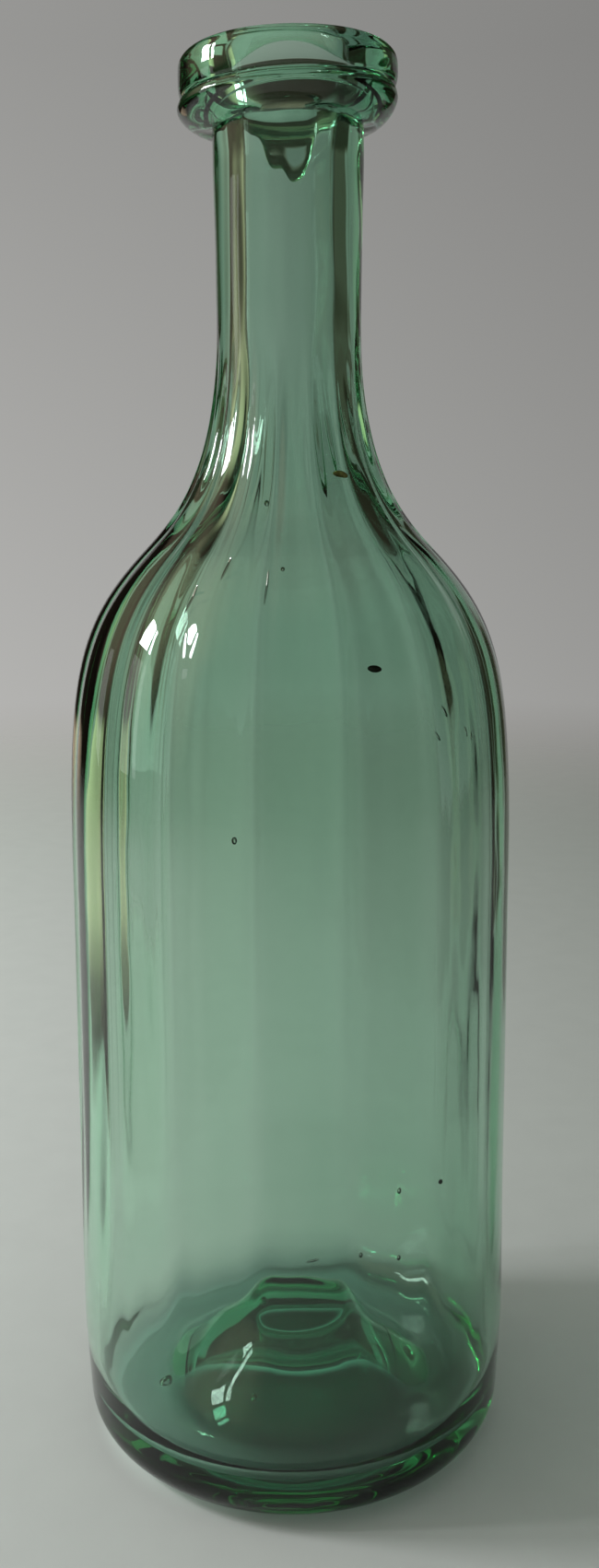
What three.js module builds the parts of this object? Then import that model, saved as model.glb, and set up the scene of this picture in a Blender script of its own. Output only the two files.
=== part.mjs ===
// Ribbed bar bottle: a hand-blown green glass bottle, ribbed in a dip mould, with a pushed-up base,
// a string ring wound round the neck and a lip band laid on its sheared end.
// Millimetres, +Z up. The origin is the centre of the ring that the bottle stands on.
// The blown glass is one real piece. It is cut here at its form lines into base, body wall,
// shoulder and neck, which meet on level faces, so that each is a simple ring or cup.
import * as THREE from "three";

// Blown body: heights of its stretches, from the table up
const baseHeight = 24;
const wallLength = 87.5;
const shoulderRise = 64.5; // rounded shoulder, up to where its curve turns
const neckSweepRise = 43.5; // hollow curve from there into the neck
const neckLength = 37.3; // neck above that curve, up to its sheared end

// Blown body: radii of its outside, over the rib crests
const bodyRadius = 43.35; // at the top of the base
const heelDraw = 0.75; // how much narrower the body is where the heel's round ends
const wallDraw = 0.6; // how much narrower the body is at the top of its wall
const turnRadius = 28.7; // where the shoulder curve turns into the neck's sweep
const neckRadius = 13.1; // narrowest stretch of the neck
const neckSwell = 0.35; // how much wider the neck is again at its sheared end

// Blown body: how far each curve runs on before it bends
const shoulderStartReach = 41;
const shoulderTurnReach = 18;
const neckTurnReach = 8.7;
const neckStartReach = 29.5;
const turnSlope = THREE.MathUtils.degToRad(132.7); // direction of the outline where it turns

// Blown body: glass thickness and bore
const wallGlass = 3.4;
const neckGlass = 4.5; // the glass grows to this from the shoulder's turn up
const boreFlare = 1; // how much the bore opens at its sheared end
const boreFlareDepth = 10;

// Base
const heelRadius = 8;
const restWidth = 2.6; // flat worn ring that the bottle stands on
const kickHeight = 13; // height of the hollow under the base
const kickFlatRadius = 7; // flat crown of that hollow
const kickCrownReach = 9;
const kickFootReach = 17;
const kickCrownGlass = 8;
const floorGlass = 8; // glass over the standing ring
const innerFootReach = 16;
const innerHeelRise = 6;

// Ribs, all round, fading into the heel and the neck
const ribCount = 16;
const ribDepth = 0.6; // crest to hollow
const ribPhase = THREE.MathUtils.degToRad(3.75); // first crest, from the front towards +X
const innerRibDepth = 0.2;
const ribFootFade = 16;
const ribTopFade = 60; // height below the straight neck over which the ribs fade out

// String ring and lip band
const ringRadius = 19.5;
const ringHeight = 5.6;
const ringBulge = 3.8; // height of the widest line below the ring's top
const ringFootReach = 5.2; // how far its flat underside runs out
const ringBellyReach = 1.5;
const grooveRadius = 18.6;
const lipRadius = 19.4;
const lipHeight = 6.6;
const lipEdge = 2.2; // radius of the lip's rounded outer edge
const mouthRadius = 12;
const fuseGap = 0.1; // between the ring's bore and the neck

// Faceting
const ribSteps = 4; // facets to a rib
const segments = ribCount * ribSteps;

// Heights and radii that follow from these sizes
const wallTop = baseHeight + wallLength;
const turnHeight = wallTop + shoulderRise;
const neckHeight = turnHeight + neckSweepRise;
const shearHeight = neckHeight + neckLength;
const mouthHeight = shearHeight + lipHeight;
const boreRadius = neckRadius - neckGlass;
const swellRadius = neckRadius + neckSwell;
const heelTopRadius = bodyRadius - heelDraw;
const wallTopRadius = bodyRadius - wallDraw;
const restOuter = heelTopRadius - heelRadius;
const restInner = restOuter - restWidth;

const at = (r, z) => new THREE.Vector2(r, z);

// Points of a cubic curve from one point to another, without its first point.
function curve(from, handleFrom, handleTo, to, steps) {
  return new THREE.CubicBezierCurve(from, handleFrom, handleTo, to).getPoints(steps).slice(1);
}

// Points of a circular arc about a centre, in degrees, without its first point.
function arc(centre, radius, fromDegrees, toDegrees, steps) {
  const from = THREE.MathUtils.degToRad(fromDegrees);
  const to = THREE.MathUtils.degToRad(toDegrees);
  const ellipse = new THREE.EllipseCurve(centre.x, centre.y, radius, radius, from, to, to < from);
  return ellipse.getPoints(steps).slice(1);
}

// A point moved along the direction in which the outline turns.
function alongTurn(point, reach) {
  return at(point.x + reach * Math.cos(turnSlope), point.y + reach * Math.sin(turnSlope));
}

// Share of the full rib depth at a height: it grows over the heel and dies out up the neck.
function ribShare(z) {
  const foot = THREE.MathUtils.smoothstep(z, 0, ribFootFade);
  const top = THREE.MathUtils.smoothstep(z, neckHeight - ribTopFade, neckHeight);
  return foot * (1 - top);
}

// A solid of revolution about +Z from its outside and its inside, listed in one turn. A profile
// that starts off the axis is closed onto its first point.
function revolve(outside, inside) {
  const closing = outside[0].x > 0 ? [outside[0]] : [];
  const profile = [...outside, ...inside, ...closing];
  const geometry = new THREE.LatheGeometry(profile, segments);
  geometry.rotateX(Math.PI / 2);
  geometry.computeVertexNormals();
  return geometry;
}

// The same solid with ribs: in their hollows the outside sinks by ribDepth and the inside by
// innerRibDepth. The pushed-up hollow and what lies over it stay plain.
function revolveRibbed(outside, inside) {
  const geometry = revolve(outside, inside);
  const position = geometry.getAttribute("position");
  const rows = position.count / (segments + 1);
  for (let i = 0; i < position.count; i++) {
    const row = i % rows;
    const [x, y, z] = [position.getX(i), position.getY(i), position.getZ(i)];
    const radius = Math.hypot(x, y);
    if (radius < restInner && z < wallTop) continue;
    const isInside = row >= outside.length && row < outside.length + inside.length;
    const depth = (isInside ? innerRibDepth : ribDepth) * ribShare(z);
    const angle = Math.atan2(x, -y) - ribPhase;
    const scale = 1 - (depth * (1 - Math.cos(ribCount * angle))) / 2 / radius;
    position.setXY(i, x * scale, y * scale);
  }
  geometry.computeVertexNormals();
  return geometry;
}

// The inside of a stretch of the outline, listed downwards, with the glass that each point has.
function insideOf(side, glassAt) {
  return side.map((point) => at(point.x - glassAt(point), point.y)).reverse();
}

// Base: the pushed-up hollow, the standing ring and the thick heel.
function baseGeometry() {
  const crown = at(kickFlatRadius, kickHeight);
  const restEdge = at(restInner, 0);
  const kickSide = curve(
    crown,
    at(crown.x + kickCrownReach, crown.y),
    at(restEdge.x - kickFootReach, restEdge.y),
    restEdge,
    6,
  );
  const outside = [
    at(0, kickHeight),
    crown,
    ...kickSide,
    at(restOuter, 0),
    ...arc(at(restOuter, heelRadius), heelRadius, -90, 0, 4),
    at((heelTopRadius + bodyRadius) / 2, (heelRadius + baseHeight) / 2),
    at(bodyRadius, baseHeight),
  ];
  const innerTop = at(bodyRadius - wallGlass, baseHeight);
  const trough = at((restInner + restOuter) / 2, floorGlass);
  const innerCrown = at(0, kickHeight + kickCrownGlass);
  const inside = [
    innerTop,
    ...curve(
      innerTop,
      at(innerTop.x, floorGlass + innerHeelRise),
      at(innerTop.x, floorGlass + innerHeelRise / 2),
      trough,
      5,
    ),
    ...curve(
      trough,
      at(trough.x - innerFootReach, trough.y),
      at(crown.x + kickCrownReach, innerCrown.y),
      innerCrown,
      7,
    ),
  ];
  return revolveRibbed(outside, inside);
}

// Body wall: the nearly upright stretch between the base and the shoulder.
function wallGeometry() {
  const side = [at(bodyRadius, baseHeight), at(wallTopRadius, wallTop)];
  return revolveRibbed(side, insideOf(side, () => wallGlass));
}

// Shoulder: it leaves the wall upright and leans in to where its curve turns.
function shoulderGeometry() {
  const foot = at(wallTopRadius, wallTop);
  const turn = at(turnRadius, turnHeight);
  const handle = at(foot.x, foot.y + shoulderStartReach);
  const side = [foot, ...curve(foot, handle, alongTurn(turn, -shoulderTurnReach), turn, 7)];
  return revolveRibbed(side, insideOf(side, () => wallGlass));
}

// Neck: it sweeps in from the shoulder, runs nearly straight and ends where it was sheared off.
function neckGeometry() {
  const turn = at(turnRadius, turnHeight);
  const waist = at(neckRadius, neckHeight);
  const handle = at(waist.x, waist.y - neckStartReach);
  const sweep = [turn, ...curve(turn, alongTurn(turn, neckTurnReach), handle, waist, 7)];
  const ringFoot = shearHeight - ringHeight;
  const glassAt = (point) => {
    const share = (turnRadius - point.x) / (turnRadius - neckRadius);
    return wallGlass + (neckGlass - wallGlass) * share;
  };
  const outside = [
    ...sweep,
    at(neckRadius + neckSwell / 2, (neckHeight + ringFoot) / 2),
    at(swellRadius, ringFoot),
    at(swellRadius, shearHeight),
  ];
  const inside = [
    at(boreRadius + boreFlare, shearHeight),
    at(boreRadius, shearHeight - boreFlareDepth),
    ...insideOf(sweep, glassAt),
  ];
  return revolveRibbed(outside, inside);
}

// String ring: a bead of glass wound round the neck under the lip.
function ringGeometry() {
  const bore = swellRadius + fuseGap;
  const foot = at(bore, shearHeight - ringHeight);
  const widest = at(ringRadius, shearHeight - ringBulge);
  const groove = at(grooveRadius, shearHeight);
  const belly = curve(
    foot,
    at(foot.x + ringFootReach, foot.y),
    at(widest.x, widest.y - ringBellyReach),
    widest,
    5,
  );
  const crest = curve(
    widest,
    at(widest.x, widest.y + ringBulge / 2),
    at(groove.x + (widest.x - groove.x) / 2, groove.y - ringBulge / 8),
    groove,
    3,
  );
  return revolve([foot, ...belly, ...crest], [at(bore, shearHeight)]);
}

// Lip band: it caps the sheared end of the neck and rests on the string ring.
function lipGeometry() {
  const mouthFoot = at(boreRadius + boreFlare, shearHeight);
  const groove = at(grooveRadius, shearHeight);
  const side = at(lipRadius, mouthHeight - lipEdge);
  const mouthEdge = at(mouthRadius, mouthHeight);
  const band = curve(
    groove,
    at((groove.x + side.x) / 2, groove.y + lipEdge / 8),
    at(side.x, (groove.y + side.y) / 2),
    side,
    3,
  );
  const edge = arc(at(lipRadius - lipEdge, side.y), lipEdge, 0, 90, 4);
  const funnel = curve(
    mouthEdge,
    at((mouthEdge.x + mouthFoot.x) / 2, mouthHeight),
    at(mouthFoot.x, mouthFoot.y + lipHeight / 2),
    mouthFoot,
    4,
  );
  return revolve([mouthFoot, groove, ...band, ...edge], [mouthEdge, ...funnel.slice(0, -1)]);
}

const glass = { roughness: 0.03, metalness: 0, transparent: true, opacity: 0.45 };
const bodyGlass = new THREE.MeshStandardMaterial({ color: 0x7fb397, ...glass });
const heelGlass = new THREE.MeshStandardMaterial({ color: 0x3f7a5c, ...glass });
const collarGlass = new THREE.MeshStandardMaterial({ color: 0x5f9a7c, ...glass });

const bottle = new THREE.Group();
for (const [name, geometry, material] of [
  ["base", baseGeometry(), heelGlass],
  ["body_wall", wallGeometry(), bodyGlass],
  ["shoulder", shoulderGeometry(), bodyGlass],
  ["neck", neckGeometry(), bodyGlass],
  ["string_ring", ringGeometry(), collarGlass],
  ["lip_band", lipGeometry(), collarGlass],
]) {
  const piece = new THREE.Mesh(geometry, material);
  piece.name = name;
  bottle.add(piece);
}

export default bottle;
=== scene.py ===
"""Ribbed bar bottle of hand-blown green glass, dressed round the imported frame."""

import math

import bpy
import numpy as np
from mathutils import Matrix, Vector


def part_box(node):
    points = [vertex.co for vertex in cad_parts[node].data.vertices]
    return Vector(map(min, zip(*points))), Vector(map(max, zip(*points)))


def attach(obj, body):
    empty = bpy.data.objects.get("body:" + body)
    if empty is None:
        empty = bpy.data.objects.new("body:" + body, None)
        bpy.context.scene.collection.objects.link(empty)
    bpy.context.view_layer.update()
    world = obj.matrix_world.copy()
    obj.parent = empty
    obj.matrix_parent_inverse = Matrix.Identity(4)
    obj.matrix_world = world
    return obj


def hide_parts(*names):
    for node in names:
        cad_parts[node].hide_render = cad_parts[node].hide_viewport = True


bl_info = {
    "name": "Ribbed bar bottle",
    "version": (1, 0, 0),
    "blender": (4, 5, 0),
    "location": "View3D > Sidebar > Bottle",
    "description": "Builds a hand-blown, ribbed bar bottle and the studio round it",
    "category": "Add Mesh",
}

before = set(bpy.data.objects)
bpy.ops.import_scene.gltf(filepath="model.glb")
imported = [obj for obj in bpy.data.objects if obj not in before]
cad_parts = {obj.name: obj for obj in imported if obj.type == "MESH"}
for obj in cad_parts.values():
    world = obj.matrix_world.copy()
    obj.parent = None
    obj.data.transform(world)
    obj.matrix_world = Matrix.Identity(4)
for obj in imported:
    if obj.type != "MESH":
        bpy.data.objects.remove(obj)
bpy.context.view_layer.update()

# Heights of the frame's form lines, in metres
BASE_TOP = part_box("base")[1].z
WALL_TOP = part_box("body_wall")[1].z
TURN_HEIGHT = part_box("shoulder")[1].z
SHEAR_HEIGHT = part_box("neck")[1].z
RING_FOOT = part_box("string_ring")[0].z
MOUTH_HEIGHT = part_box("lip_band")[1].z

COLUMNS = 288  # facets round each turned piece
BALL_ROWS, BALL_COLUMNS = 11, 14  # points of a bubble or a stone, from foot to top and round it
PAPER_RINGS, PAPER_SPOKES = 15, 96  # points of the paper, outwards and round it
SHARP = math.radians(50)  # an edge that bends by more than this stays sharp
FUSE_CLEARANCE = 0.00003  # each fused face keeps this far from where the two pieces meet
UNBENT = 1.0  # refraction index of a fused face, through which light goes straight
WAVES = 6  # cosines in each swell

# Lengths over which details fade in or out, in metres
TILT_FADE = 0.004  # the collar's tilt, below the ring
STAND_FADE = 0.02  # the swells, above the standing ring
NECK_FADE = 0.03  # ripples and flutes, below the top of the neck's sweep
RING_FADE = 0.003  # the ripples, below the ring
DRIP_FADE = 0.004  # the pull of the drip, above the ring's foot
DRIP_REACH = (0.001, 0.003)  # the pull of the drip, away from the neck
COLLAR_FADE = 0.002  # the swells of ring and lip, away from where they are fused
FINE_STRETCH = 0.006  # part of the neck under the ring whose rows lie close together
HOLLOW_RISE = (0.015, 0.10)  # heights between which the hollow moves off the axis
HOLLOW_RETURN = 0.02  # how far below the turn it starts to move back
TROUGH_RISE = 0.006  # how far over the trough the wall's inside curves in

# Slow swells and ragged edges: size, seed, most rounds about the axis and pitch, in metres
OUTER_SWELL = (0.00016, 3, 5, 0.09)
NECK_RIPPLES = (0.00010, 4, 6, 0.016)
INNER_SWELL = (0.00022, 5, 4, 0.08)
INNER_RIPPLES = (0.00006, 6, 12, 0.03)
BORE_FLUTES = (1, 8, 26, 0.25)  # times the depth of the flutes
RING_SWELL = (0.00022, 11, 5, 0.02)
LIP_SIDE_SWELL = (0.0002, 21, 4, 0.02)
LIP_TOP_SWELL = (0.00018, 22, 4, 0.02)
RING_EDGE = (0.0004, 31, 17, 1)
POCKET_EDGE = (0.75, 33, 23, 1)  # times the pocket's height
DRIP_EDGE = (0.3, 37, 11, 1)  # times the drip's length
POCKET_MEAN = 0.45  # mean height of the trapped air, as a share of the pocket's
DRIP_MEAN = 0.85  # mean length of the drip, as a share of its full length

# Lumps of the pushed-up floor: height, place and spread in metres
LUMPS = (
    (0.0020, (0.0235, 0.001), 0.0058),
    (-0.0012, (0.0140, 0.004), 0.0050),
    (0.0010, (-0.0175, 0.003), 0.0055),
    (0.0006, (0.0010, -0.014), 0.0060),
)
# What each crossing of the glass lets through at some heights, besides its tint: painted shade
# at the heel and floor, where the paper under the bottle lies in shadow, and a darkening of the
# upper body and, more, of the shoulder, standing in for deeper glass there
DEPTH_AND_SHADE_BY_HEIGHT = (
    (0.000, (0.36, 0.38, 0.47)),
    (0.004, (0.50, 0.53, 0.59)),
    (0.010, (0.88, 0.88, 0.90)),
    (0.016, (1.00, 1.00, 1.00)),
    (0.070, (1.00, 1.00, 1.00)),
    (0.095, (0.96, 0.96, 0.96)),
    (0.115, (0.96, 0.96, 0.96)),
    (0.150, (0.81, 0.89, 0.85)),
    (0.178, (0.78, 0.87, 0.83)),
    (0.215, (1.00, 0.975, 1.00)),
)
CORE_SHADE_EDGE = (0.022, 0.029)  # radii between which the painted shade of the pushed-up floor ends
CORE_SHADE_FADE = 0.01  # height above the base over which that painted shade ends
STREAK = (0.97, 0.99, 0.98)  # what a streak of tint lets through
# Air in the wall: angle from the front towards +X, height, width and length in mm, and lean
WALL_SEEDS = (
    (-31, 170, 0.5, 6.0, 24),
    (-22, 175, 0.5, 5.0, 18),
    (-7, 172, 0.4, 6.5, 6),
    (42, 151, 0.6, 2.4, -30),
    (49, 147, 0.5, 2.0, -20),
    (39, 147, 0.5, 2.0, -35),
    (51, 146, 0.5, 1.6, 0),
    (-12, 186, 0.9, 1.2, 0),
    (-13, 131, 0.9, 1.3, 0),
    (27, 66, 0.8, 1.2, 0),
    (27, 53, 0.8, 1.0, 0),
    (17, 55, 0.7, 1.0, 0),
    (5, 55, 0.5, 2.2, 80),
    (-2, 175, 0.7, 0.9, 0),
)
# Air in the floor: place and size in mm
FLOOR_SEEDS = ((-6, 2, 18.3, 2.6), (-26.6, -5, 5.6, 2.8), (-7.7, -17, 11, 1.4))
# Stones in the wall: name, angle, height, width and length, lean, and two tones
STONES = (
    ("dark_stone", 22, 159, 2.5, 1.2, 8, (0.010, 0.012, 0.010), (0.05, 0.05, 0.04)),
    ("rust_stone", 33, 191, 3.4, 1.3, 5, (0.26, 0.17, 0.05), (0.66, 0.50, 0.17)),
    ("grey_stone", 40, 65, 0.9, 0.9, 0, (0.02, 0.024, 0.02), (0.06, 0.06, 0.05)),
)
SEED_DEPTH, STONE_DEPTH = 0.45, 0.4  # how deep they lie, as shares of the wall's thickness
STONE_HALF = 0.0006  # half a stone's thickness

PAPER_DROP = 0.00005  # how far the paper lies under the standing ring
PAPER_LIGHT_REACH = 0.25  # how far to each side of the axis the painted light on the paper changes
PAPER_FADE = 0.45  # radius at which the paper starts to go over into the backdrop
PAPER_SIDE = (-0.01, 0.02)  # where the glass stops to show it, from its half width
HEEL_INSIDE = (0.020, 0.030)  # radii between which the heel's light on the paper grows
HEEL_OUTSIDE = (0.036, 0.043)  # radii between which it ends
HEEL_SIDE = (-0.022, 0.014, 0.12, 1)  # its share grows between these places towards the left rear
HEEL_TINT = (0.80, 1, 0.88, 1)

BOUNCES = 24
WINDOW_TARGET = (0, 0, 0.17)
WINDOW_X = -0.62
WINDOW_TINT = (0.94, 0.97, 1.0)
WINDOW_ROWS = ((0.49, 0.13), (0.22, 0.28))  # height over the floor and height of the panes
WINDOW_COLUMNS = ((0.02, 0.12), (-0.09, 0.04))  # place along Y and width of the panes

# Tones of the room: start and end along a direction, and the tones there
TONE_ACROSS = (-0.25, 0.25, 1.16, 0.80)
TONE_UPWARDS = (-0.2, 0.28, 0.415, 0.278)
TONE_GLOW = (0.75, 1.0, 0.0, 0.9)
TONE_CEILING = (0.75, 0.98, 0.03, 0.2)
GLOW_AXIS = (-0.85, 0, 0.53)
# Zones of the room: headings from +Y towards +X and rises over the horizon, in degrees
GOLD_ZONE = ((-44, -27), (-20.5, -5))
BACKDROP_ZONES = (
    ((-31, 33), (-90, 20)),
    ((-64, -27), (-90, -20.5)),
    ((29, 44), (6, 20)),
    ((37, 62), (-90, -13)),
)
NECK_ZONE = ((40, 70), (6, 20))
NECK_SHARE = 0.3  # share of the backdrop in that zone
PALE_GOLD, PALING = 0.55, (-40, -32)  # share of the gold at its left, and where it turns full
BEHIND = (75, 95)  # headings to either side past which the glass shows the backdrop again
LOW_DOWN = (0.30, 0.42, 1, 0)  # sines of the rise between which it stops to, and its shares
ROOM_HUE = (1, 0.79, 0.55, 1)
BACKDROP_HUE = (1, 0.995, 0.965, 1)
FILL_HUE = (0.89, 1, 0.93, 1)
SMOOTH = "SMOOTHSTEP"


def length(name, description, default):
    """A length in metres."""
    return bpy.props.FloatProperty(
        name=name, description=description, default=default, unit="LENGTH", precision=5
    )


def angle(name, description, degrees):
    """An angle, given in degrees and kept in radians."""
    return bpy.props.FloatProperty(
        name=name, description=description, default=math.radians(degrees), subtype="ANGLE"
    )


def number(name, description, default):
    """A plain number."""
    return bpy.props.FloatProperty(name=name, description=description, default=default)


def colour(name, description, default):
    """A colour: linear red, green and blue."""
    return bpy.props.FloatVectorProperty(
        name=name, description=description, default=default, size=3, subtype="COLOR", min=0, max=1
    )


class BodyForm(bpy.types.PropertyGroup):
    """Sizes of the blown body."""

    radius: length("Body radius", "Radius at the top of the base, over the ribs", 0.04335)
    heel_top: length("Heel top radius", "Radius where the heel's round ends", 0.0426)
    heel_round: length("Heel round", "Radius of the heel's round", 0.008)
    rest_width: length("Rest width", "Width of the ring that the bottle stands on", 0.0026)
    wall_top: length("Wall top radius", "Radius where the shoulder starts", 0.04275)
    turn: length("Turn radius", "Radius where the shoulder turns into the neck", 0.0287)
    turn_slope: angle("Turn slope", "Direction of the outline where it turns", 132.7)
    shoulder_start: length("Shoulder start", "How far the shoulder runs on upright", 0.041)
    shoulder_end: length("Shoulder end", "How far it runs straight into the turn", 0.018)
    sweep_start: length("Sweep start", "How far the neck's sweep runs straight on", 0.0087)
    sweep_end: length("Sweep end", "How far the sweep runs upright into the neck", 0.0295)
    neck: length("Neck radius", "Radius of the narrowest stretch of the neck", 0.0131)
    neck_rise: length("Neck rise", "Height of the neck's sweep above the turn", 0.0435)
    neck_swell: length("Neck swell", "How much wider the neck is at its top", 0.00035)
    wall: length("Wall glass", "Thickness of the wall at the front and the back", 0.0034)
    squeeze: length("Squeeze", "How much thicker the wall is at both sides", 0.0006)
    thick_side: length("Thick side", "How far the hollow lies off the axis, towards +X", 0.0014)
    bore: length("Bore radius", "Radius of the neck's bore", 0.0086)
    bore_flare: length("Bore flare", "How much the bore opens at the top of the neck", 0.001)
    bore_flare_depth: length("Bore flare depth", "Depth over which the bore opens", 0.010)
    flute: length("Bore flutes", "Depth of the fine upright flutes in the bore", 0.00012)
    floor: length("Floor height", "Inside height over the standing ring", 0.008)
    kick_under: length("Push-up height", "Height of the hollow under the base", 0.013)
    kick_crown: length("Push-up crown", "How far that hollow's crown runs on level", 0.019)
    kick_foot: length("Push-up foot", "How far its foot runs in level from the ring", 0.013)
    kick_inside: length("Inner push-up height", "Inside height of the pushed-up floor", 0.021)
    kick_crest: length("Inner crown", "Radius at which the pushed-up floor starts to fall", 0.009)
    kick_skirt: length("Inner skirt", "Radius at which it has fallen to the floor", 0.0275)
    ribs: bpy.props.IntProperty(name="Ribs", description="Ribs round the body", default=16)
    rib_depth: length("Rib depth", "Depth of the grooves between the ribs of the wall", 0.0006)
    shoulder_ribs: number("Shoulder ribs", "How many times deeper they are on the shoulder", 1.4)
    inner_rib_depth: length("Inner rib depth", "Depth of the grooves inside", 0.00015)
    rib_foot: length("Rib foot", "Height over which the ribs fade in above the base", 0.045)
    rib_top: length("Rib top", "Height over which they fade out under the neck", 0.030)
    rib_phase: angle("Rib phase", "Angle of the first groove from the front", 15)
    rib_breadth: number("Rib breadth", "Power that narrows the grooves between broad ribs", 2.2)


class CollarForm(bpy.types.PropertyGroup):
    """Sizes of the string ring and the lip band."""

    ring: length("Ring radius", "Largest radius of the string ring", 0.0195)
    ring_bulge: length("Ring bulge", "Depth of its widest line below its top", 0.0016)
    ring_reach: length("Ring reach", "How far its flat underside runs out", 0.0044)
    ring_belly: length("Ring belly", "How far its side runs upright under the widest line", 0.0009)
    groove: length("Groove radius", "Radius between the ring and the lip", 0.0186)
    lip: length("Lip radius", "Largest radius of the lip band", 0.0194)
    lip_edge: length("Lip edge", "Radius of the lip's outer edge", 0.0022)
    lip_bow: length("Lip bow", "How far the lip's side bows out", 0.0006)
    mouth: length("Mouth radius", "Radius of the lip's inner edge", 0.012)
    funnel: length("Funnel", "How far the bore runs on upright under the mouth", 0.003)
    drip: length("Drip", "How far glass of the ring has run down the back of the neck", 0.0062)
    drip_half: angle("Drip breadth", "Half the angle that the drip covers", 28)
    joint_tilt: angle("Joint tilt", "How far the joint of ring and lip slopes to -X", 3.3)
    mouth_tilt: angle("Mouth tilt", "How far the mouth slopes to -X", 1.4)
    seam: length("Seam", "Width of the air trapped round the end of the neck", 0.0005)
    pocket: length("Pocket height", "Height of the air trapped behind the ring's foot", 0.0022)


class GlassFinish(bpy.types.PropertyGroup):
    """Look of the glass."""

    tint: colour("Tint", "What a deep layer of the glass lets through", (0.13, 0.80, 0.40))
    density: number("Tint density", "How strongly a metre of glass takes light", 60.0)
    # Painted shade: each crossing darkens on the side towards +X, away from the window
    side_shade: colour("Dusk", "What each crossing towards +X lets through", (0.815, 0.90, 0.86))
    side_shade_start: length("Dusk start", "How far towards +X of the axis it starts", -0.030)
    side_shade_end: length("Dusk end", "How far towards +X it is in full", 0.006)
    # Painted shade in the pushed-up floor, where the paper under the bottle lies in shadow
    core: colour("Core", "What each crossing of the pushed-up floor lets through", (0.4, 0.8, 0.71))
    # Painted shade of ring and lip on their side towards +X, away from the window
    collar_side_shade: colour("Collar dusk", "The dusk of ring and lip towards +X", (0.70, 0.69, 0.75))
    collar_side_shade_start: length("Collar dusk start", "Where it starts on the collar", 0.004)
    collar_side_shade_end: length("Collar dusk end", "Where it is in full on the collar", 0.016)
    collar_depth: number("Collar depth", "How many times deeper the collar's glass is in tint", 0.9)
    bend: number("Refraction index", "How strongly the glass bends light", 1.5)
    skin: number("Skin waves", "Strength of the fine waves in the fire-polished skin", 0.13)


class Studio(bpy.types.PropertyGroup):
    """Camera, light and floor."""

    eye_height: length("Eye height", "Height of the camera over the floor", 0.18664)
    eye_distance: length("Eye distance", "Distance of the camera from the bottle's axis", 0.26606)
    eye_side: length("Eye side", "How far the camera stands to the right of the axis", 0.00165)
    pitch: angle("Pitch", "How far the camera looks down", 11.518)
    roll: angle("Roll", "How far the picture leans to the left", 0.206)
    view_height: angle("View height", "Angle that the picture's height covers", 58.81)
    floor_tone: colour("Floor", "Colour of the paper under the bottle", (0.62, 0.615, 0.595))
    paper_half: length("Paper half width", "How far to each side the glass shows the paper", 0.17)
    # Painted light: the paper is made brighter towards the window at the left
    paper_painted_light: number("Paper left", "How much brighter the paper is per metre to the left", 1.3)
    paper_fill: number("Paper fill", "Radiance of the room's light on the paper alone", 0.28)
    paper_end: length("Paper end", "Radius at which the paper has gone over into the backdrop", 1.1)
    heel_light: number("Heel light", "Light that the heel gathers on the paper under it", 0.32)
    window_power: number("Window power", "Radiance of the window's upper panes", 40.0)
    low_share: number("Lower panes", "Share of it in the lower panes", 0.03)
    behind: number("Behind", "Share of the backdrop that the glass shows from other sides", 0.8)
    gold: number("Gold", "Strength of the warm patch behind the bottle at its left", 1.05)


def bezier(points, count):
    """A cubic curve: its four points weighted by (1-t)^3, 3t(1-t)^2, 3t^2(1-t) and t^3."""
    t = np.linspace(0, 1, count)[:, None]
    a, b, c, d = np.array(points, float)
    return (1 - t) ** 3 * a + 3 * t * (1 - t) ** 2 * b + 3 * t**2 * (1 - t) * c + t**3 * d


def arc(centre, radius, start, end, count):
    """A round stretch: the centre plus the radius along angles from start to end, in degrees."""
    t = np.radians(np.linspace(start, end, count))
    return np.stack([centre[0] + radius * np.cos(t), centre[1] + radius * np.sin(t)], 1)


def joined(*stretches):
    """The stretches as one outline, without the points that they repeat."""
    return np.concatenate([stretches[0]] + [s[1:] for s in stretches[1:]])


def smoothstep(x, low, high):
    """Rises from 0 at low to 1 at high as 3t^2 - 2t^3."""
    t = np.clip((x - low) / (high - low), 0, 1)
    return t * t * (3 - 2 * t)


def swell(a, z, size, seed, rounds, pitch):
    """A smooth uneven swell of up to its size: the mean of cosines of a whole number of rounds of
    the angle a plus a share of the height z over the pitch, each with a phase of its own."""
    rng = np.random.default_rng(seed)
    waves = [
        np.cos(rng.integers(0, rounds + 1) * a + rng.uniform(-2, 2) * math.pi * z / pitch + phase)
        for phase in rng.uniform(0, 2 * math.pi, WAVES)
    ]
    return size * (sum(waves) / WAVES)


def lump(x, y, centre, spread):
    """A round rise of height 1: e to the minus squared distance over twice the squared spread."""
    return np.exp(-((x - centre[0]) ** 2 + (y - centre[1]) ** 2) / (2 * spread**2))


def turn_angles(columns=COLUMNS):
    """The angle of each column, from the front towards +X."""
    return np.arange(columns)[None, :] * 2 * math.pi / columns


def round_axis(radius, height, a):
    """Points at a radius and a height: the radius times the sine and minus the cosine of a."""
    return np.stack([radius * np.sin(a), -radius * np.cos(a), height + 0 * a], -1)


def leaning(grid):
    """The collar as the tool left it: the height changes by x times the tangent of the tilt, which
    grows up the ring to the joint's tilt and goes over into the mouth's up the lip."""
    c = bpy.context.scene.collar_form
    z = grid[..., 2]
    joint, mouth = math.tan(c.joint_tilt), math.tan(c.mouth_tilt)
    up_ring = smoothstep(z, RING_FOOT - TILT_FADE, SHEAR_HEIGHT)
    up_lip = smoothstep(z, SHEAR_HEIGHT, MOUTH_HEIGHT)
    out = grid.copy()
    out[..., 2] += grid[..., 0] * (joint * up_ring + (mouth - joint) * up_lip)
    return out


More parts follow.
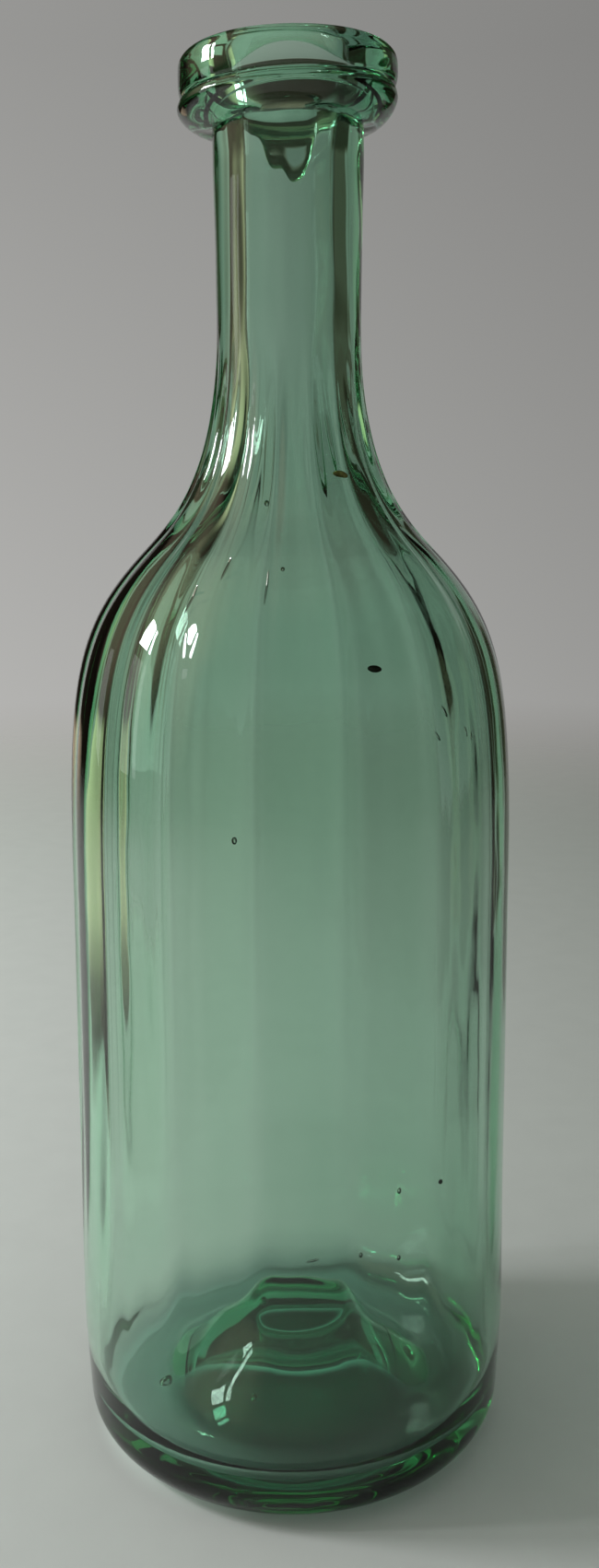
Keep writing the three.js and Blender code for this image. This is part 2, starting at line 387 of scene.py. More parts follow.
def closed_surface(grid, fused, poles):
    """Points, faces and marks of a closed surface from a grid of rows along an outline by columns
    round an axis, which runs with its outside on the left. fused marks the strips after each row,
    by column. With poles, the first and the last row are one point each."""
    rows, columns = grid.shape[:2]
    index = np.arange(rows * columns).reshape(rows, columns)
    if poles:
        index = index - (columns - 1)
        index[0], index[-1] = 0, index[-2, -1] + 1
        points = np.concatenate([grid[0, :1], grid[1:-1].reshape(-1, 3), grid[-1, :1]])
    else:
        points = grid.reshape(-1, 3)
        index = np.concatenate([index, index[:1]])
    right = np.roll(index, -1, 1)
    quads = np.stack([index[:-1], right[:-1], right[1:], index[1:]], -1)
    marks = fused[: len(quads)]
    if poles:
        first, last, middle = quads[0], quads[-1], quads[1:-1].reshape(-1, 4)
        faces = middle.tolist() + first[:, 1:].tolist() + last[:, :3].tolist()
        marks = np.concatenate([marks[1:-1].ravel(), marks[0], marks[-1]])
    else:
        faces = quads.reshape(-1, 4).tolist()
        marks = marks.ravel()
    return points, faces, marks


def placed(name, mesh, mat):
    """An object of the mesh at the origin, smooth but for its sharp edges."""
    mesh.polygons.foreach_set("use_smooth", np.ones(len(mesh.polygons), bool))
    mesh.set_sharp_from_angle(angle=SHARP)
    mesh.materials.append(mat)
    mesh.validate()
    ob = bpy.data.objects.new(name, mesh)
    bpy.context.scene.collection.objects.link(ob)
    return ob


def glazed(name, points, faces, bends, mat):
    """An object whose faces carry how strongly each bends light."""
    mesh = bpy.data.meshes.new(name)
    mesh.from_pydata(points.tolist(), [], faces)
    bend = mesh.attributes.new("bend", "FLOAT", "FACE")
    bend.data.foreach_set("value", bends.astype(np.float32))
    return placed(name, mesh, mat)


def turned(name, grid, fused, mat, poles):
    """A turned piece of glass. fused marks the strips that meet another piece of glass."""
    points, faces, marks = closed_surface(grid, fused, poles)
    index_of_glass = bpy.context.scene.glass_finish.bend
    return glazed(name, points, faces, np.where(marks, UNBENT, index_of_glass), mat)


def shoulder_line(b, count):
    """Outline of the shoulder: a cubic curve that starts upright and ends along the turn."""
    turn = np.array([b.turn, TURN_HEIGHT])
    slope = np.array([math.cos(b.turn_slope), math.sin(b.turn_slope)])
    foot = (b.wall_top, WALL_TOP)
    upright = (b.wall_top, WALL_TOP + b.shoulder_start)
    return bezier([foot, upright, turn - b.shoulder_end * slope, turn], count)


def sweep_line(b, count):
    """Outline of the neck's sweep: a cubic curve that starts along the turn and ends upright."""
    turn = np.array([b.turn, TURN_HEIGHT])
    slope = np.array([math.cos(b.turn_slope), math.sin(b.turn_slope)])
    waist = np.array([b.neck, TURN_HEIGHT + b.neck_rise])
    return bezier([turn, turn + b.sweep_start * slope, waist - (0, b.sweep_end), waist], count)


def body_outside(b, seam):
    """Outline of the body's outside, from the axis under the push-up to the sheared end, whose
    edge is rounded off by the seam."""
    rest_outer = b.heel_top - b.heel_round
    rest_inner = rest_outer - b.rest_width
    top = b.neck + b.neck_swell
    fine_foot = (top, RING_FOOT - FINE_STRETCH)
    crown, foot = (b.kick_crown, b.kick_under), (rest_inner - b.kick_foot, 0)
    return joined(
        bezier([(0, b.kick_under), crown, foot, (rest_inner, 0)], 28),
        np.linspace((rest_inner, 0), (rest_outer, 0), 4),
        arc((rest_outer, b.heel_round), b.heel_round, -90, 0, 14),
        np.linspace((b.heel_top, b.heel_round), (b.radius, BASE_TOP), 6),
        np.linspace((b.radius, BASE_TOP), (b.wall_top, WALL_TOP), 14),
        shoulder_line(b, 28),
        sweep_line(b, 32),
        np.linspace((b.neck, TURN_HEIGHT + b.neck_rise), fine_foot, 16),
        np.linspace(fine_foot, (top, SHEAR_HEIGHT - seam), 30),
        np.linspace((top, SHEAR_HEIGHT - seam), (top - seam, SHEAR_HEIGHT), 2),
    )


def body_inside(b):
    """Outline of the body's inside, from the sheared end down to the axis over the push-up."""
    shoulder, sweep = shoulder_line(b, 26), sweep_line(b, 28)
    share = (b.turn - sweep[:, 0]) / (b.turn - b.neck)
    sweep[:, 0] -= b.wall + (b.neck - b.bore - b.wall) * share
    shoulder[:, 0] -= b.wall
    wall_top, wall_foot = (b.wall_top - b.wall, WALL_TOP), (b.radius - b.wall, BASE_TOP)
    curve_start, curve_end = (wall_foot[0], b.floor + TROUGH_RISE), (wall_foot[0], b.floor)
    trough = (b.heel_top - b.heel_round - b.rest_width / 2, b.floor)
    across = np.linspace(trough[0], 0, 44)
    fallen = smoothstep(across, b.kick_crest, b.kick_skirt)
    flare_foot = (b.bore, SHEAR_HEIGHT - b.bore_flare_depth)
    return joined(
        np.linspace((b.bore + b.bore_flare, SHEAR_HEIGHT), flare_foot, 6),
        np.linspace(flare_foot, sweep[-1], 14),
        sweep[::-1],
        shoulder[::-1],
        np.linspace(wall_top, wall_foot, 14),
        bezier([wall_foot, curve_start, curve_end, trough], 16),
        np.stack([across, b.kick_inside - (b.kick_inside - b.floor) * fallen], 1),
    )


def drip_foot(a):
    """Height of the ring's lower edge at the angle a: a ragged edge, which has run down the back
    of the neck in one broad tongue, whose length is an uneven share of the drip's times e to the
    minus fourth power of the angle over its half breadth."""
    c = bpy.context.scene.collar_form
    behind = (a % (2 * math.pi)) - math.pi
    tongue = np.exp(-((behind / c.drip_half) ** 4)) * (DRIP_MEAN + swell(a, 0, *DRIP_EDGE))
    return RING_FOOT - c.drip * tongue + swell(a, 0, *RING_EDGE)


def trapped_air(a, z):
    """True where air is trapped between the ring and the neck: in ragged pockets that reach up
    from the ring's foot by an uneven share of the pocket's height."""
    pocket = bpy.context.scene.collar_form.pocket
    return z < RING_FOOT + pocket * (POCKET_MEAN + swell(a, 0, *POCKET_EDGE))


def push_up_lumps(x, y):
    """Uneven rises of the pushed-up floor: lumps where the iron pressed the soft glass."""
    return sum(height * lump(x, y, centre, spread) for height, centre, spread in LUMPS)


def blown_body_grid(b, a):
    """Points of the blown body. Outside, the radius sinks between the ribs by their depth times
    half of 1 + cos(ribs times the angle), narrowed by a power; inside likewise. The hollow lies
    off the axis and is squeezed by the squared sine of the angle. Slow swells move every surface
    a little, and lumps rise on the floor."""
    outside = body_outside(b, bpy.context.scene.collar_form.seam)
    outline = np.concatenate([outside, body_inside(b)])
    r, z = outline[:, :1], outline[:, 1:]
    rows_outside = len(outside)
    is_inside = (np.arange(len(outline)) >= rows_outside)[:, None]
    rest_inner = b.heel_top - b.heel_round - b.rest_width
    is_floor = (r < rest_inner) & (z < BASE_TOP)
    neck_height = TURN_HEIGHT + b.neck_rise
    fade_in = smoothstep(z, BASE_TOP, BASE_TOP + b.rib_foot)
    fade_out = 1 - smoothstep(z, neck_height - b.rib_top, neck_height)
    deeper = 1 + (b.shoulder_ribs - 1) * smoothstep(z, WALL_TOP, TURN_HEIGHT)
    ribs = ((1 + np.cos(b.ribs * (a - b.rib_phase))) / 2) ** b.rib_breadth
    depth = np.where(is_inside, b.inner_rib_depth, b.rib_depth) * fade_in * fade_out * deeper
    upper = smoothstep(z, neck_height - NECK_FADE, neck_height)
    standing = smoothstep(z, 0.0, STAND_FADE)
    under_ring = 1 - smoothstep(z, RING_FOOT - RING_FADE, RING_FOOT)
    ripples = swell(a, z, *NECK_RIPPLES) * upper * under_ring
    flutes = b.flute * swell(a, z, *BORE_FLUTES) * upper
    outer_swell = swell(a, z, *OUTER_SWELL) * standing + ripples
    inner_swell = swell(a, z, *INNER_SWELL) + swell(a, z, *INNER_RIPPLES) + flutes
    radius = r - depth * ribs + np.where(is_inside, inner_swell * standing, outer_swell)
    below_neck = 1 - smoothstep(z, TURN_HEIGHT - HOLLOW_RETURN, neck_height)
    off_axis = smoothstep(z, *HOLLOW_RISE) * below_neck * is_inside
    radius = np.where(is_floor, r, radius - off_axis * b.squeeze * np.sin(a) ** 2)
    points = round_axis(radius, z, a)
    points[..., 0] += np.where(is_floor, 0, off_axis * b.thick_side)
    points[..., 2] += (is_floor & is_inside) * push_up_lumps(points[..., 0], points[..., 1])
    return leaning(points), rows_outside


def material(name):
    """A new material, its node tree and its shader."""
    mat = bpy.data.materials.new(name)
    mat.use_nodes = True
    return mat, mat.node_tree, mat.node_tree.nodes["Principled BSDF"]


def feed(tree, node, inputs):
    """Links a node's inputs to sockets, or sets them to plain values."""
    for name, value in inputs.items():
        if isinstance(value, bpy.types.NodeSocket):
            tree.links.new(value, node.inputs[name])
        else:
            node.inputs[name].default_value = value


def node_of(tree, kind, inputs, **settings):
    """A new node with its settings and inputs."""
    node = tree.nodes.new(kind)
    for name, setting in settings.items():
        setattr(node, name, setting)
    feed(tree, node, inputs)
    return node


def ramp(tree, value, start, end, low, high, kind="LINEAR"):
    """A socket that goes from low to high while a value goes from start to end."""
    inputs = {"Value": value, "From Min": start, "From Max": end, "To Min": low, "To Max": high}
    return node_of(tree, "ShaderNodeMapRange", inputs, interpolation_type=kind).outputs["Result"]


def math_of(tree, operation, *values):
    """A socket with the outcome of an operation on one value or two."""
    return node_of(tree, "ShaderNodeMath", dict(enumerate(values)), operation=operation).outputs[0]


def folded(tree, operation, first, *others):
    """A socket with the sum, product or maximum of several values."""
    for other in others:
        first = math_of(tree, operation, first, other)
    return first


def vector_of(tree, operation, inputs):
    """The outputs of an operation on vectors."""
    return node_of(tree, "ShaderNodeVectorMath", inputs, operation=operation).outputs


def along(tree, vector, axis):
    """A socket with the dot product of a vector and an axis."""
    return vector_of(tree, "DOT_PRODUCT", {0: vector, 1: axis})["Value"]


def length_of(tree, vector):
    """A socket with the length of a vector."""
    return vector_of(tree, "LENGTH", {0: vector})["Value"]


def noise_of(tree, vector, scale, detail):
    """A socket with a noise between 0 and 1, by place."""
    inputs = {"Vector": vector, "Scale": scale, "Detail": detail}
    return node_of(tree, "ShaderNodeTexNoise", inputs).outputs["Fac"]


def tones_of(tree, value, stops):
    """A socket with the colour at a value, between stops of a position and a colour each."""
    node = node_of(tree, "ShaderNodeValToRGB", {"Fac": value})
    elements = node.color_ramp.elements
    for stop, (position, shade) in enumerate(stops):
        element = elements[stop] if stop < 2 else elements.new(position)
        element.position, element.color = position, (*shade, 1)
    return node.outputs["Color"]


def mixed(tree, share, first, second, blend="MIX"):
    """A socket with the first colour, gone over into the second, or times it, by a share."""
    inputs = {0: share, 6: first, 7: second}
    return node_of(tree, "ShaderNodeMix", inputs, data_type="RGBA", blend_type=blend).outputs[2]


def place_on(tree):
    """A socket with the place on the object."""
    return tree.nodes.new("ShaderNodeTexCoord").outputs["Object"]


def parts_of(tree, vector):
    """Sockets with the X, Y and Z of a vector."""
    return node_of(tree, "ShaderNodeSeparateXYZ", {"Vector": vector}).outputs


def bend_of(tree):
    """A socket with how strongly each face bends light."""
    return node_of(tree, "ShaderNodeAttribute", {}, attribute_name="bend").outputs["Fac"]


def glass(name, seed, collar=False):
    """Green blown glass, clear and tinted through its depth. Each crossing of its skin takes some
    more light: in slight streaks; towards +X, as painted shade on the side away from the window
    (the collar has painted shade of its own there); at some heights, as painted shade at the heel
    and floor and a darkening of the upper body and shoulder that stands in for deeper glass; and
    in the pushed-up floor, as more painted shade. Fine waves and faint rubs lie in the skin. Faces
    with a bend of 1 are fused to the next piece."""
    finish = bpy.context.scene.glass_finish
    side_shade, side_shade_start, side_shade_end = finish.side_shade, finish.side_shade_start, finish.side_shade_end
    if collar:
        side_shade = finish.collar_side_shade
        side_shade_start, side_shade_end = finish.collar_side_shade_start, finish.collar_side_shade_end
    mat, tree, shader = material(name)
    place = place_on(tree)
    parts = parts_of(tree, place)
    stretch = {"Vector": place, "Location": (seed, seed, seed), "Scale": (1, 1, 0.35)}
    drawn = node_of(tree, "ShaderNodeMapping", stretch).outputs["Vector"]
    streaks = tones_of(tree, noise_of(tree, drawn, 55, 3), ((0.35, STREAK), (0.65, (1, 1, 1))))
    # Painted shade on the side towards +X, away from the window
    side_shade_share = ramp(tree, parts["X"], side_shade_start, side_shade_end, 0, 1)
    side_shaded = mixed(tree, side_shade_share, streaks, (*side_shade, 1), "MULTIPLY")
    # Painted shade at the heel and floor, and a darkening of upper body and shoulder, by height
    up = ramp(tree, parts["Z"], 0, MOUTH_HEIGHT, 0, 1)
    depth_and_shade = tones_of(tree, up, [(height / MOUTH_HEIGHT, shade) for height, shade in DEPTH_AND_SHADE_BY_HEIGHT])
    with_depth_and_shade = mixed(tree, 1, side_shaded, depth_and_shade, "MULTIPLY")
    # Painted shade in the pushed-up floor
    flat = vector_of(tree, "MULTIPLY", {0: place, 1: (1, 1, 0)})["Vector"]
    near = ramp(tree, length_of(tree, flat), *CORE_SHADE_EDGE, 1, 0, SMOOTH)
    low = ramp(tree, parts["Z"], BASE_TOP, BASE_TOP + CORE_SHADE_FADE, 1, 0)
    pushed_up_shade_share = math_of(tree, "MULTIPLY", near, low)
    rubs = noise_of(tree, place, 240, 4)
    waves = {"Height": noise_of(tree, drawn, 160, 1), "Strength": finish.skin, "Distance": 0.0004}
    feed(tree, shader, {
        "Transmission Weight": 1,
        "Base Color": mixed(tree, pushed_up_shade_share, with_depth_and_shade, (*finish.core, 1), "MULTIPLY"),
        "Roughness": ramp(tree, rubs, 0.45, 0.8, 0.0, 0.05),
        "Normal": node_of(tree, "ShaderNodeBump", waves).outputs["Normal"],
        "IOR": bend_of(tree),
    })
    density = finish.density * (finish.collar_depth if collar else 1)
    depth = {"Color": (*finish.tint, 1), "Density": density}
    volume = node_of(tree, "ShaderNodeVolumeAbsorption", depth).outputs["Volume"]
    feed(tree, tree.nodes["Material Output"], {"Volume": volume})
    return mat


def air():
    """The clear surface of a bubble of air in the glass."""
    mat, tree, shader = material("seed_air")
    feed(tree, shader, {"Transmission Weight": 1, "Roughness": 0, "IOR": bend_of(tree)})
    return mat


def stony(name, dark, light):
    """A stony inclusion: two tones mixed by a fine noise."""
    mat, tree, shader = material(name)
    grain = noise_of(tree, place_on(tree), 900, 2)
    tones = tones_of(tree, grain, ((0.35, dark), (0.65, light)))
    feed(tree, shader, {"Base Color": tones, "Roughness": 0.5})
    return mat


def paper():
    """Matte pale paper with faint fibres, with painted light that makes it brighter to the left,
    towards the window. The light that the heel gathers is painted on it as a glow round the
    standing ring, most at the left rear. Far from the bottle the paper goes over into the
    backdrop, and so it does at both sides for rays that leave the glass."""
    studio = bpy.context.scene.studio
    mat, tree, shader = material("pale_paper")
    place = place_on(tree)
    x = parts_of(tree, place)["X"]
    tone = np.array(studio.floor_tone)
    stops = ((0.3, tone * 0.985), (0.7, np.minimum(tone * 1.015, 1)))
    fibres = tones_of(tree, noise_of(tree, place, 90, 6), stops)
    # Painted light: brighter towards the window at the left
    slope = PAPER_LIGHT_REACH * studio.paper_painted_light
    painted_light = ramp(tree, x, -PAPER_LIGHT_REACH, PAPER_LIGHT_REACH, 1 + slope, 1 - slope)
    from_axis = length_of(tree, place)
    # A painted glow of the light that the heel gathers, given off by the paper itself
    grows = ramp(tree, from_axis, *HEEL_INSIDE, 0, 1, SMOOTH)
    ends = ramp(tree, from_axis, *HEEL_OUTSIDE, studio.heel_light, 0, SMOOTH)
    lit_side = ramp(tree, along(tree, place, (-0.7, 0.7, 0)), *HEEL_SIDE)
    feed(tree, shader, {
        "Base Color": vector_of(tree, "SCALE", {0: fibres, "Scale": painted_light})["Vector"],
        "Roughness": 0.95,
        "Specular IOR Level": 0.1,
        "Emission Color": HEEL_TINT,
        "Emission Strength": folded(tree, "MULTIPLY", grows, ends, lit_side),
    })
    far = ramp(tree, from_axis, PAPER_FADE, studio.paper_end, 0, 1, SMOOTH)
    start, end = (studio.paper_half + past for past in PAPER_SIDE)
    beside = ramp(tree, math_of(tree, "ABSOLUTE", x), start, end, 0, 1, SMOOTH)
    through_glass = tree.nodes.new("ShaderNodeLightPath").outputs["Is Transmission Ray"]
    gone = math_of(tree, "MAXIMUM", far, math_of(tree, "MULTIPLY", beside, through_glass))
    clear = tree.nodes.new("ShaderNodeBsdfTransparent").outputs["BSDF"]
    surfaces = {"Fac": gone, 1: shader.outputs["BSDF"], 2: clear}
    surface = node_of(tree, "ShaderNodeMixShader", surfaces).outputs["Shader"]
    feed(tree, tree.nodes["Material Output"], {"Surface": surface})
    return mat


class MESH_OT_bottle_blown_body(bpy.types.Operator):
    """Blow the ribbed body, from the standing ring to the sheared end of the neck"""

    bl_idname = "mesh.bottle_blown_body"
    bl_label = "Blown Body"

    def execute(self, context):
        b = context.scene.body_form
        a = turn_angles()
        grid, rows_outside = blown_body_grid(b, a)
        collar = grid[:, :, 2] > drip_foot(a)
        collar[rows_outside:] = False
        grid[..., :2] *= (1 - FUSE_CLEARANCE / b.neck * collar)[..., None]
        end_rows = slice(rows_outside - 1, rows_outside + 1)
        grid[end_rows, :, 2] -= FUSE_CLEARANCE
        fused = collar & ~trapped_air(a, grid[:, :, 2])
        fused[rows_outside - 2] = False  # the rounded edge, where the seam's air lies
        body = turned("blown_body", grid, fused, glass("body_glass", 0.0), True)
        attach(body, "root")
        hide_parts("base", "body_wall", "shoulder", "neck")
        return {"FINISHED"}


class MESH_OT_bottle_string_ring(bpy.types.Operator):
    """Wind the string ring round the top of the neck"""

    bl_idname = "mesh.bottle_string_ring"
    bl_label = "String Ring"

    def execute(self, context):
        b, c = context.scene.body_form, context.scene.collar_form
        a = turn_angles()
        bore = b.neck + b.neck_swell + FUSE_CLEARANCE
        widest_height = SHEAR_HEIGHT - c.ring_bulge
        widest, groove = (c.ring, widest_height), (c.groove, SHEAR_HEIGHT)
        underside, side = (bore + c.ring_reach, RING_FOOT), (c.ring, widest_height - c.ring_belly)
        over_side = (c.ring, widest_height + c.ring_bulge / 2)
        groove_edge = ((c.ring + c.groove) / 2, SHEAR_HEIGHT - c.ring_bulge / 8)
        outside = joined(
            bezier([(bore, RING_FOOT), underside, side, widest], 30),
            bezier([widest, over_side, groove_edge, groove], 14),
        )
        top_height = SHEAR_HEIGHT - FUSE_CLEARANCE
        top = np.linspace((c.groove, top_height), (bore + c.seam, top_height), 5)
        edge = np.linspace((bore + c.seam, top_height), (bore, top_height), 2)
        inner = np.linspace((bore, top_height), (bore, RING_FOOT), 20)[:-1]
        outline = joined(outside, top, edge, inner)
        r, z = outline[:, :1], outline[:, 1:]
        low_down = smoothstep(z, RING_FOOT + DRIP_FADE, RING_FOOT)
        near, far = (bore + reach for reach in DRIP_REACH)
        run_down = low_down * (1 - smoothstep(r, near, far))
        height = z + (drip_foot(a) - RING_FOOT) * run_down
        proud = smoothstep(r, bore, bore + COLLAR_FADE)
        radius = r + swell(a, z, *RING_SWELL) * proud
        grid = leaning(round_axis(radius, height, a))
        joint = len(outside) - 1  # the first strip that meets the lip or the neck
        seam = joint + len(top) - 1  # the strip over the seam's air
        fused = np.zeros(grid.shape[:2], bool)
        fused[joint:] = True
        fused[seam] = False
        fused[seam + 1 :] &= ~trapped_air(a, grid[seam + 1 :, :, 2])
        ring = turned("string_ring_glass", grid, fused, glass("ring_glass", 3.0, True), False)
        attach(ring, "root")
        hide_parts("string_ring")
        return {"FINISHED"}


class MESH_OT_bottle_lip_band(bpy.types.Operator):
    """Lay the lip band on the sheared end of the neck"""

    bl_idname = "mesh.bottle_lip_band"
    bl_label = "Lip Band"

    def execute(self, context):
        b, c = context.scene.body_form, context.scene.collar_form
        a = turn_angles()
        foot_height = SHEAR_HEIGHT + FUSE_CLEARANCE
        bore = b.bore + b.bore_flare
        groove, bore_foot = (c.groove, foot_height), (bore, foot_height)
        side, mouth = (c.lip, MOUTH_HEIGHT - c.lip_edge), (c.mouth, MOUTH_HEIGHT)
        side_foot = ((c.groove + c.lip) / 2 + c.lip_bow, foot_height + c.lip_edge / 8)
        mouth_side, throat = ((c.mouth + bore) / 2, MOUTH_HEIGHT), (bore, SHEAR_HEIGHT + c.funnel)
        outside = joined(
            bezier([groove, side_foot, (c.lip, side[1] - c.lip_bow * 2), side], 12),
            arc((c.lip - c.lip_edge, side[1]), c.lip_edge, 0, 90, 14),
            np.linspace((c.lip - c.lip_edge, MOUTH_HEIGHT), mouth, 8),
            bezier([mouth, mouth_side, throat, bore_foot], 16),
        )
        outline = joined(outside, np.linspace(bore_foot, groove, 12)[:-1])
        r, z = outline[:, :1], outline[:, 1:]
        clear = smoothstep(z, SHEAR_HEIGHT, SHEAR_HEIGHT + COLLAR_FADE)
        radius = r + swell(a, z, *LIP_SIDE_SWELL) * clear
        height = z + swell(a, r, *LIP_TOP_SWELL) * clear
        grid = leaning(round_axis(radius, height, a))
        fused = np.zeros(grid.shape[:2], bool)
        fused[len(outside) - 1 :] = True
        lip = turned("lip_band_glass", grid, fused, glass("lip_glass", 6.0, True), False)
        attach(lip, "root")
        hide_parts("lip_band")
        return {"FINISHED"}


def pellets(name, centres, halves, leans, bend, mat):
    """Closed ellipsoids: each is a unit ball, stretched by its half sizes across, outwards and up,
    leaned in the wall's plane, turned to face away from the axis and moved to its centre."""
    t = np.linspace(0, math.pi, BALL_ROWS)[:, None]
    unit = round_axis(np.sin(t), -np.cos(t), turn_angles(BALL_COLUMNS))
    points, faces, _ = closed_surface(unit, np.zeros(unit.shape[:2], bool), True)
    counts = np.arange(len(centres)) * len(points)
    turns = [
        np.array(Matrix.Rotation(math.atan2(x, -y), 3, "Z") @ Matrix.Rotation(lean, 3, "Y"))
        for (x, y, _), lean in zip(centres, leans)
    ]
    balls = [points * half @ turn.T + centre for half, turn, centre in zip(halves, turns, centres)]
    every_face = [[i + count for i in face] for count in counts.tolist() for face in faces]
    return glazed(name, np.concatenate(balls), every_face, np.full(len(every_face), bend), mat)


def in_wall(degrees, millimetres, share):
    """A place in the wall: its angle from the front, its height and its depth in the glass as a
    share of the wall's thickness."""
    b = bpy.context.scene.body_form
    z = millimetres / 1000
    outline = body_outside(b, bpy.context.scene.collar_form.seam)
    upright = outline[outline[:, 1] > b.heel_round]
    order = np.argsort(upright[:, 1])
    r = np.interp(z, upright[order, 1], upright[order, 0]) - share * b.wall
    a = math.radians(degrees)
    return (r * math.sin(a), -r * math.cos(a), z)


class MESH_OT_bottle_seeds(bpy.types.Operator):
    """Blow air seeds into the wall and the floor"""

    bl_idname = "mesh.bottle_seeds"
    bl_label = "Air Seeds"

    def execute(self, context):
        bend = 1 / context.scene.glass_finish.bend
        centres = [in_wall(a, z, SEED_DEPTH) for a, z, _, _, _ in WALL_SEEDS]
        halves = [(w / 2000, w / 2000, h / 2000) for _, _, w, h, _ in WALL_SEEDS]
        leans = [math.radians(lean) for *_, lean in WALL_SEEDS]
        centres += [(x / 1000, y / 1000, z / 1000) for x, y, z, _ in FLOOR_SEEDS]
        halves += [(size / 2000,) * 3 for *_, size in FLOOR_SEEDS]
        leans += [0.0] * len(FLOOR_SEEDS)
        seeds = pellets("air_seeds", centres, halves, leans, bend, air())
        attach(seeds, "root")
        return {"FINISHED"}


class MESH_OT_bottle_stones(bpy.types.Operator):
    """Melt small stones into the wall"""

    bl_idname = "mesh.bottle_stones"
    bl_label = "Stones"

    def execute(self, context):
        for name, a, z, width, height, lean, dark, light in STONES:
            half = (width / 2000, STONE_HALF, height / 2000)
            mat = stony(name, dark, light)
            centre = in_wall(a, z, STONE_DEPTH)
            stone = pellets(name, [centre], [half], [math.radians(lean)], UNBENT, mat)
            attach(stone, "root")
        return {"FINISHED"}


class SCENE_OT_bottle_stage(bpy.types.Operator):
    """Lay the paper, hang the window and set the camera"""

    bl_idname = "scene.bottle_stage"
    bl_label = "Stage"

    def execute(self, context):
        lay_floor()
        hang_window(context.scene.studio)
        set_world(context.scene.studio)
        set_camera(context.scene.studio)
        context.scene.view_settings.view_transform = "Standard"
        context.scene.cycles.max_bounces = BOUNCES
        context.scene.cycles.transmission_bounces = BOUNCES
        return {"FINISHED"}


def lay_floor():
    """A round sheet: rings of points at radii that grow with the square of their number."""
    shares = np.linspace(0, 1, PAPER_RINGS + 1)[1:, None]
    radii = bpy.context.scene.studio.paper_end * shares**2
    a = np.linspace(0, 2 * math.pi, PAPER_SPOKES, endpoint=False)[None, :]
    ring = np.stack([radii * np.cos(a), radii * np.sin(a), 0 * radii * a - PAPER_DROP], -1)
    index = np.arange(PAPER_RINGS * PAPER_SPOKES).reshape(PAPER_RINGS, PAPER_SPOKES) + 1
    right = np.roll(index, -1, 1)
    quads = np.stack([index[:-1], index[1:], right[1:], right[:-1]], -1).reshape(-1, 4)
    middle = np.stack([0 * index[0], index[0], right[0]], -1)
    points = np.concatenate([[(0, 0, -PAPER_DROP)], ring.reshape(-1, 3)])
    mesh = bpy.data.meshes.new("paper_floor")
    mesh.from_pydata(points.tolist(), [], quads.tolist() + middle.tolist())
    placed("paper_floor", mesh, paper())


def facing(place, target):
    """A matrix that stands at a place and looks at a target."""
    turn = (Vector(target) - Vector(place)).to_track_quat("-Z", "Y")
    return Matrix.Translation(place) @ turn.to_matrix().to_4x4()


def pane(name, place, width, height, radiance):
    """One pane: a rectangular light whose watts are pi times its area times its radiance."""
    light = bpy.data.lights.new(name, "AREA")
    light.shape = "RECTANGLE"
    light.size, light.size_y = width, height
    light.energy = math.pi * width * height * radiance
    light.color = WINDOW_TINT
    ob = bpy.data.objects.new(name, light)
    ob.matrix_world = facing(place, WINDOW_TARGET)
    ob.visible_camera = False
    bpy.context.scene.collection.objects.link(ob)


def hang_window(studio):
    """The window stands at the left: a wide pane and a narrow one, with a bar between them, over a
    dim lower row."""
    powers = (studio.window_power, studio.window_power * studio.low_share)
    for row, ((height, size), power) in enumerate(zip(WINDOW_ROWS, powers)):
        for column, (y, width) in enumerate(WINDOW_COLUMNS):
            pane(f"window_{row}_{column}", (WINDOW_X, y, height), width, size, power)


def patch(tree, heading, upwards, headings, rises):
    """A socket that is 1 where a direction's heading and its rise over the horizon lie between
    bounds in degrees, and 0 elsewhere, with soft edges, the upper one half as soft."""
    soft = math.radians(4)
    left, right = (math.radians(h) for h in headings)
    low, high = (math.sin(math.radians(r)) for r in rises)
    ends = (
        ramp(tree, heading, left, left + soft, 0, 1, SMOOTH),
        ramp(tree, heading, right - soft, right, 1, 0, SMOOTH),
        ramp(tree, upwards, low, low + soft, 0, 1, SMOOTH),
        ramp(tree, upwards, high - soft / 2, high, 1, 0, SMOOTH),
    )
    return folded(tree, "MULTIPLY", *ends)


